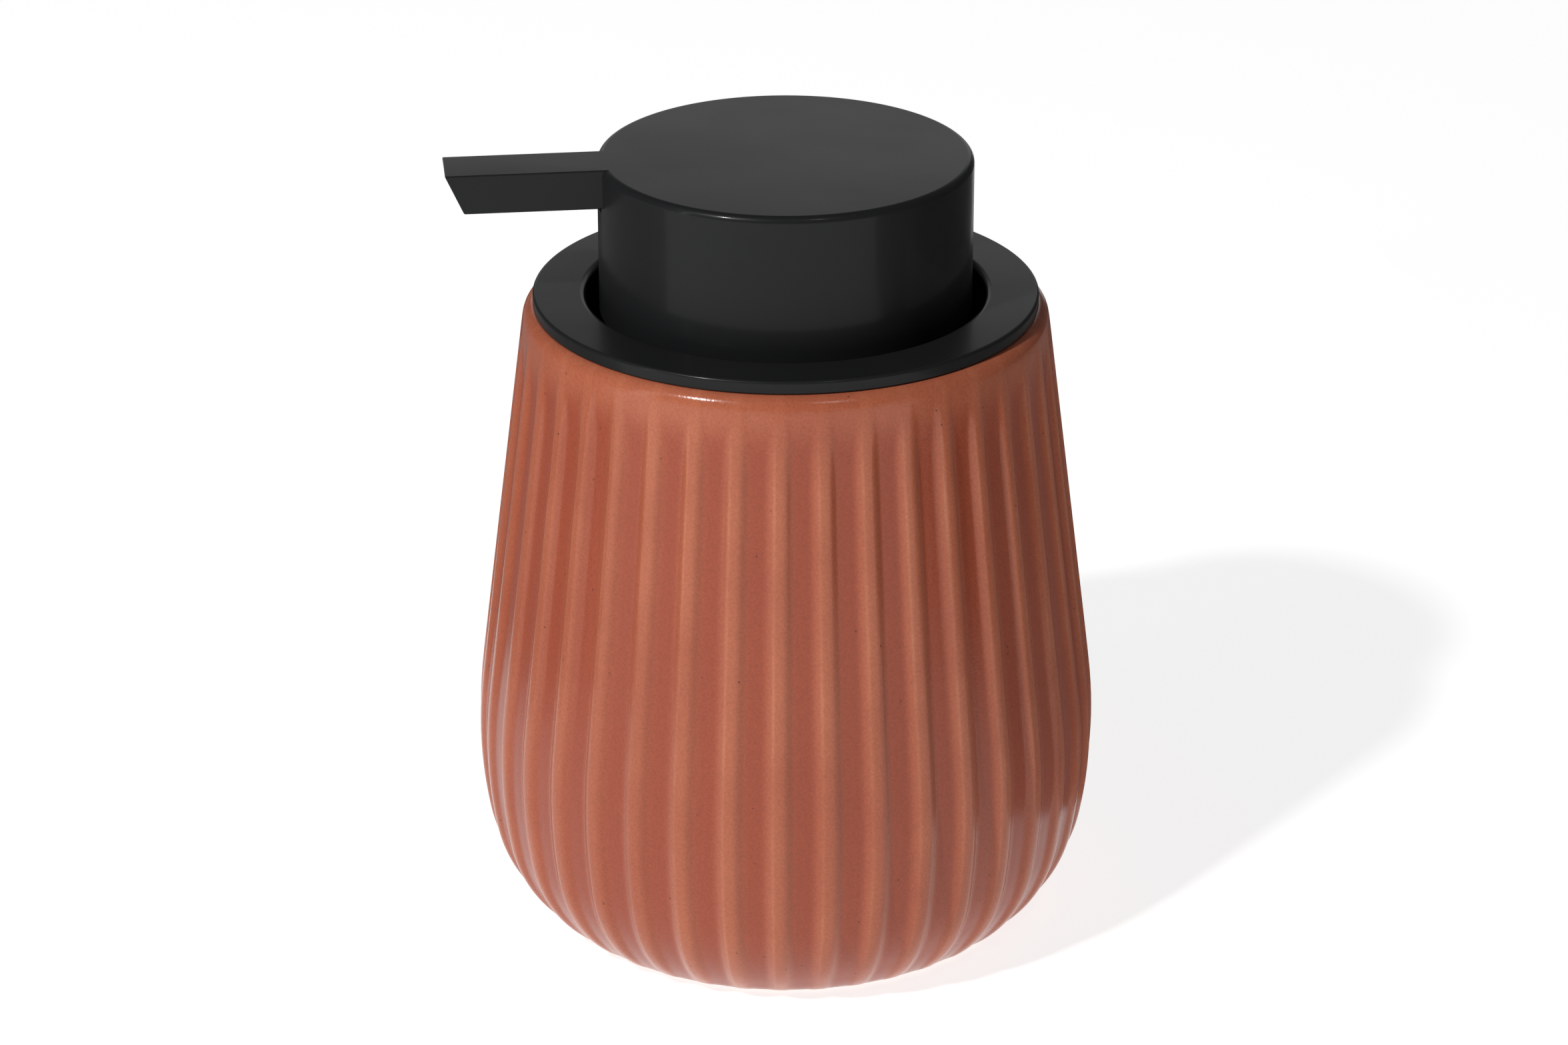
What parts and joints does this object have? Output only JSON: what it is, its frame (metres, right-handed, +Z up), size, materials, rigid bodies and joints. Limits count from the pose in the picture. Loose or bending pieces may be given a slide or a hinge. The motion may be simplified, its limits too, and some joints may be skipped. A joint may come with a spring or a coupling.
{
  "type": "soap pump dispenser",
  "caption": "Fluted glazed stoneware soap bottle with a black drop-in pump: a round push button with a flat square-edged spout above a flat collar ring.",
  "frame": {"origin": "centre of the bottle's base, on the plane of the table", "axes": "+Z up along the pump's axis; the spout points along -X; the press moves along -Z"},
  "size_m": [0.0985, 0.0956, 0.1219],
  "materials": {
    "terracotta_glaze": "glossy terracotta stoneware glaze, thin and lighter on the crests, fine dark specks",
    "black_plastic": "satin moulded black ABS",
    "white_plastic": "natural white polypropylene",
    "clear_plastic": "translucent polyethylene tube",
    "silicone": "grey silicone",
    "steel": "polished stainless steel"
  },
  "bodies": {
    "bottle": {"ceramic_body": "terracotta_glaze"},
    "pump": {"collar_ring": "black_plastic", "collar_cup": "black_plastic", "mouth_seal": "silicone", "closure_nut": "white_plastic", "cylinder_gasket": "silicone", "pump_cylinder": "white_plastic", "stem_guide": "white_plastic", "ball_stop": "white_plastic", "dip_tube": "clear_plastic", "return_spring": "steel"},
    "plunger": {"stem": "white_plastic", "piston_carrier": "white_plastic", "piston_seal": "silicone"},
    "head": {"head_shell": "black_plastic", "head_core": "white_plastic", "nozzle_tube": "clear_plastic", "spout_cover": "black_plastic"},
    "inlet_valve": {"inlet_ball": "steel"},
    "outlet_valve": {"outlet_ball": "steel"}
  },
  "joints": [
    {"name": "pump_lift", "type": "slide", "parent": "bottle", "child": "pump", "axis": [0, 0, 1], "range_m": [0, 0.095]},
    {"name": "head_press", "type": "slide", "parent": "pump", "child": "plunger", "axis": [0, 0, -1], "range_m": [0, 0.009], "stiffness_N_per_m": 800, "springref_m": -0.006, "deforming": ["return_spring"]},
    {"name": "head_swivel", "type": "hinge", "parent": "plunger", "child": "head", "pos_m": [0, 0, 0.112], "axis": [0, 0, 1], "continuous": true},
    {"name": "inlet_ball_lift", "type": "slide", "parent": "pump", "child": "inlet_valve", "axis": [0, 0, 1], "range_m": [0, 0.0015]},
    {"name": "outlet_ball_lift", "type": "slide", "parent": "plunger", "child": "outlet_valve", "axis": [0, 0, 1], "range_m": [0, 0.0013]}
  ]
}
